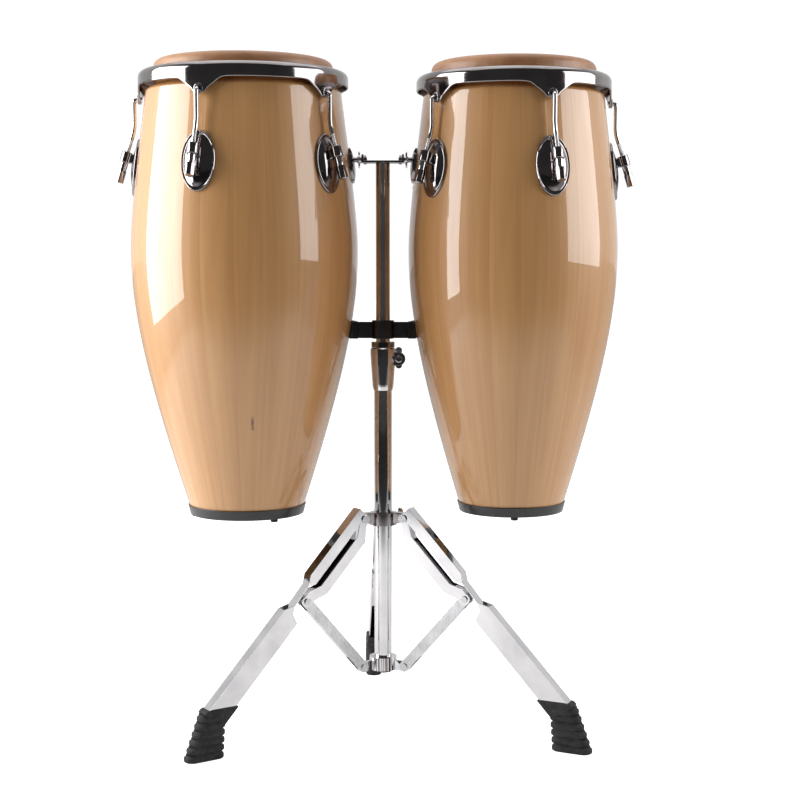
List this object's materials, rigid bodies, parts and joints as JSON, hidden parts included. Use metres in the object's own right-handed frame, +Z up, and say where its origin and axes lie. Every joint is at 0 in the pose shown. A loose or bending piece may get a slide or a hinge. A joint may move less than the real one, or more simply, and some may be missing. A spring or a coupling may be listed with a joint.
{
  "type": "pair of conga drums on a stand",
  "caption": "Tall barrel-shaped wooden hand drums with rawhide heads and tuning hooks, side by side on a height-adjustable pole with a folding tripod.",
  "frame": {"origin": "on the floor, under the middle of the box around both drums and the stand; the pole stands 12 mm to +X and 74 mm to -Y of it", "axes": "+Z up along the pole, +X from the left drum to the right drum, -Y towards the player, +Y along the rear leg"},
  "size_m": [0.8188, 0.5584, 1.0575],
  "materials": {
    "maple": "gloss lacquer",
    "rawhide": "smooth",
    "chrome": "mirror",
    "dark_chrome": "dark mirror",
    "steel": "zinc plated",
    "black_paint": "satin",
    "rubber": "matt, ribbed",
    "black_plastic": "matt"
  },
  "bodies": {
    "base": {"lower_tube": "chrome", "tube_plug": "black_plastic", "lower_collar": "chrome", "height_clamp": "chrome", "clamp_bushing": "black_plastic"},
    "memory_lock": {"memory_lock": "dark_chrome"},
    "mast": {"upper_tube": "chrome", "t_bar": "dark_chrome", "bow_bar": "black_paint", "bow_pads": "rubber", "bow_bolt": "steel"},
    "height_wing_screw": {"height_wing_screw": "chrome"},
    "upper_collar": {"upper_collar": "dark_chrome", "collar_rivets": "steel"},
    "tripod_wing_screw": {"tripod_wing_screw": "chrome"},
    "rear_leg": {"rear_leg": "chrome", "rear_leg_strip": "chrome", "rear_foot": "rubber"},
    "rear_brace": {"rear_brace": "steel"},
    "left_leg": {"left_leg": "chrome", "left_leg_strip": "chrome", "left_foot": "rubber"},
    "left_brace": {"left_brace": "steel"},
    "right_leg": {"right_leg": "chrome", "right_leg_strip": "chrome", "right_foot": "rubber"},
    "right_brace": {"right_brace": "steel"},
    "left_drum": {"left_shell": "maple", "left_head_skin": "rawhide", "left_flesh_hoop": "steel", "left_rim": "dark_chrome", "left_side_plates": "dark_chrome", "left_hooks": "chrome", "left_plate_bolts": "steel", "left_base_ring": "black_paint", "left_ring_feet": "rubber", "left_mount_plate": "dark_chrome"},
    "left_wing_nut": {"left_wing_nut": "chrome"},
    "left_nut_1": {"left_nut_1": "dark_chrome"},
    "left_nut_2": {"left_nut_2": "dark_chrome"},
    "left_nut_3": {"left_nut_3": "dark_chrome"},
    "left_nut_4": {"left_nut_4": "dark_chrome"},
    "left_nut_5": {"left_nut_5": "dark_chrome"},
    "right_drum": {"right_shell": "maple", "right_head_skin": "rawhide", "right_flesh_hoop": "steel", "right_rim": "dark_chrome", "right_side_plates": "dark_chrome", "right_hooks": "chrome", "right_plate_bolts": "steel", "right_base_ring": "black_paint", "right_ring_feet": "rubber", "right_mount_plate": "dark_chrome"},
    "right_wing_nut": {"right_wing_nut": "chrome"},
    "right_nut_1": {"right_nut_1": "dark_chrome"},
    "right_nut_2": {"right_nut_2": "dark_chrome"},
    "right_nut_3": {"right_nut_3": "dark_chrome"},
    "right_nut_4": {"right_nut_4": "dark_chrome"},
    "right_nut_5": {"right_nut_5": "dark_chrome"}
  },
  "joints": [
    {"name": "memory_lock_turn", "type": "hinge", "parent": "base", "child": "memory_lock", "pos_m": [0.01205, -0.075, 0.615], "axis": [0, 0, 1], "continuous": true},
    {"name": "height_slide", "type": "slide", "parent": "memory_lock", "child": "mast", "axis": [0, 0, 1], "range_m": [0, 0.2]},
    {"name": "height_screw_turn", "type": "hinge", "parent": "base", "child": "height_wing_screw", "pos_m": [0.03705, -0.075, 0.593], "axis": [0, 1, 0], "continuous": true},
    {"name": "tripod_slide", "type": "slide", "parent": "base", "child": "upper_collar", "axis": [0, 0, 1], "range_m": [0, 0.07875]},
    {"name": "tripod_screw_turn", "type": "hinge", "parent": "upper_collar", "child": "tripod_wing_screw", "pos_m": [0.01205, -0.075, 0.33704], "axis": [0.83, 0.5577, 0], "continuous": true},
    {"name": "rear_leg_fold", "type": "hinge", "parent": "upper_collar", "child": "rear_leg", "pos_m": [0.00933, -0.03509, 0.34004], "axis": [-0.9977, -0.068, 0], "range_deg": [0, 36.4]},
    {"name": "rear_brace_fold", "type": "hinge", "parent": "rear_leg", "child": "rear_brace", "pos_m": [0.00213, 0.07047, 0.22002], "axis": [-0.9977, -0.068, 0], "range_deg": [-72.8, 0]},
    {"name": "left_leg_fold", "type": "hinge", "parent": "upper_collar", "child": "left_leg", "pos_m": [-0.02115, -0.09731, 0.34004], "axis": [0.5577, -0.83, 0], "range_deg": [0, 36.4]},
    {"name": "left_brace_fold", "type": "hinge", "parent": "left_leg", "child": "left_brace", "pos_m": [-0.10897, -0.15632, 0.22002], "axis": [0.5577, -0.83, 0], "range_deg": [-72.8, 0]},
    {"name": "right_leg_fold", "type": "hinge", "parent": "upper_collar", "child": "right_leg", "pos_m": [0.04797, -0.0926, 0.34004], "axis": [0.4399, 0.898, 0], "range_deg": [0, 36.4]},
    {"name": "right_brace_fold", "type": "hinge", "parent": "right_leg", "child": "right_brace", "pos_m": [0.14299, -0.13915, 0.22002], "axis": [0.4399, 0.898, 0], "range_deg": [-72.8, 0]},
    {"name": "left_drum_lift", "type": "slide", "parent": "mast", "child": "left_drum", "axis": [0, 0, 1], "range_m": [0, 0.12]},
    {"name": "left_wing_nut_turn", "type": "hinge", "parent": "left_drum", "child": "left_wing_nut", "pos_m": [-0.02495, -0.075, 0.9055], "axis": [-1, 0, 0], "continuous": true},
    {"name": "left_nut_1_turn", "type": "hinge", "parent": "left_drum", "child": "left_nut_1", "pos_m": [-0.37735, -0.075, 0.9522], "axis": [-0.3007, 0, -0.9537], "continuous": true},
    {"name": "left_nut_2_turn", "type": "hinge", "parent": "left_drum", "child": "left_nut_2", "pos_m": [-0.2585, -0.23858, 0.9522], "axis": [-0.0929, -0.286, -0.9537], "continuous": true},
    {"name": "left_nut_3_turn", "type": "hinge", "parent": "left_drum", "child": "left_nut_3", "pos_m": [-0.0662, -0.1761, 0.9522], "axis": [0.2433, -0.1768, -0.9537], "continuous": true},
    {"name": "left_nut_4_turn", "type": "hinge", "parent": "left_drum", "child": "left_nut_4", "pos_m": [-0.0662, 0.0261, 0.9522], "axis": [0.2433, 0.1768, -0.9537], "continuous": true},
    {"name": "left_nut_5_turn", "type": "hinge", "parent": "left_drum", "child": "left_nut_5", "pos_m": [-0.2585, 0.08858, 0.9522], "axis": [-0.0929, 0.286, -0.9537], "continuous": true},
    {"name": "right_drum_lift", "type": "slide", "parent": "mast", "child": "right_drum", "axis": [0, 0, 1], "range_m": [0, 0.12]},
    {"name": "right_wing_nut_turn", "type": "hinge", "parent": "right_drum", "child": "right_wing_nut", "pos_m": [0.04905, -0.075, 0.9055], "axis": [1, 0, 0], "continuous": true},
    {"name": "right_nut_1_turn", "type": "hinge", "parent": "right_drum", "child": "right_nut_1", "pos_m": [0.37735, -0.075, 0.9462], "axis": [0.3007, 0, -0.9537], "continuous": true},
    {"name": "right_nut_2_turn", "type": "hinge", "parent": "right_drum", "child": "right_nut_2", "pos_m": [0.26638, -0.22774, 0.9462], "axis": [0.0929, -0.286, -0.9537], "continuous": true},
    {"name": "right_nut_3_turn", "type": "hinge", "parent": "right_drum", "child": "right_nut_3", "pos_m": [0.08682, -0.1694, 0.9462], "axis": [-0.2433, -0.1768, -0.9537], "continuous": true},
    {"name": "right_nut_4_turn", "type": "hinge", "parent": "right_drum", "child": "right_nut_4", "pos_m": [0.08682, 0.0194, 0.9462], "axis": [-0.2433, 0.1768, -0.9537], "continuous": true},
    {"name": "right_nut_5_turn", "type": "hinge", "parent": "right_drum", "child": "right_nut_5", "pos_m": [0.26638, 0.07774, 0.9462], "axis": [0.0929, 0.286, -0.9537], "continuous": true}
  ],
  "couplings": [
    {"joint": "rear_leg_fold", "follows": "tripod_slide", "rad_per_m": 8.0636},
    {"joint": "rear_brace_fold", "follows": "tripod_slide", "rad_per_m": -16.127},
    {"joint": "left_leg_fold", "follows": "tripod_slide", "rad_per_m": 8.0636},
    {"joint": "left_brace_fold", "follows": "tripod_slide", "rad_per_m": -16.127},
    {"joint": "right_leg_fold", "follows": "tripod_slide", "rad_per_m": 8.0636},
    {"joint": "right_brace_fold", "follows": "tripod_slide", "rad_per_m": -16.127}
  ]
}
